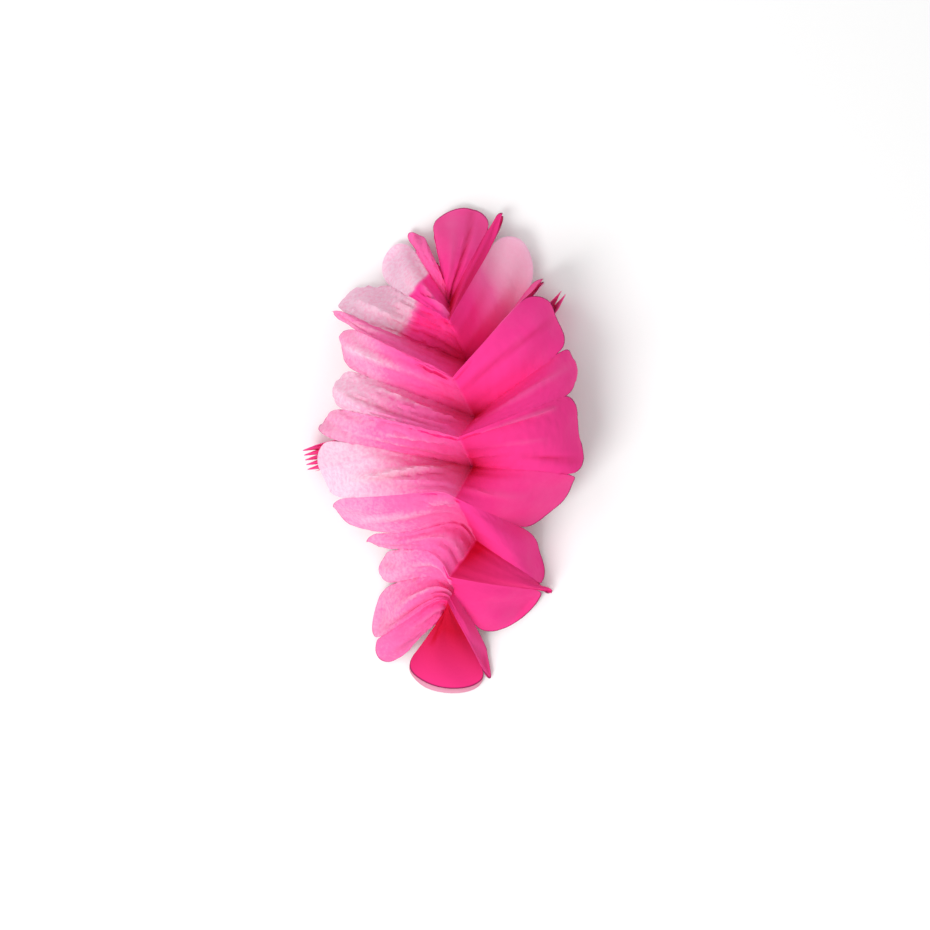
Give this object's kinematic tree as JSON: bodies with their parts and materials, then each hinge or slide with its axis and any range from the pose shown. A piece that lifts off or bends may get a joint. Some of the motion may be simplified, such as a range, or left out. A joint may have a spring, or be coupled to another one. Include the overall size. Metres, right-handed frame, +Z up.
{
  "type": "tissue paper pom pom",
  "caption": "Pleated tissue paper sheets with round cut ends, tied at the waist with wire and part-way pulled open into overlapping petals.",
  "frame": {"origin": "centre of the outline seen from above, at the level it rests on", "axes": "+Y runs along the spine towards the top end of the picture, +X towards the layered petals, +Z up"},
  "size_m": [0.1512, 0.262, 0.0718],
  "materials": {
    "single_tissue": "matte, thin and translucent",
    "layered_tissue": "matte",
    "folded_tissue": "matte",
    "florist_wire": "plain"
  },
  "bodies": {
    "root": {"top_sheet": "single_tissue", "layered_sheets": "layered_tissue", "folded_sheets": "folded_tissue", "tie_wire": "florist_wire"}
  },
  "joints": []
}
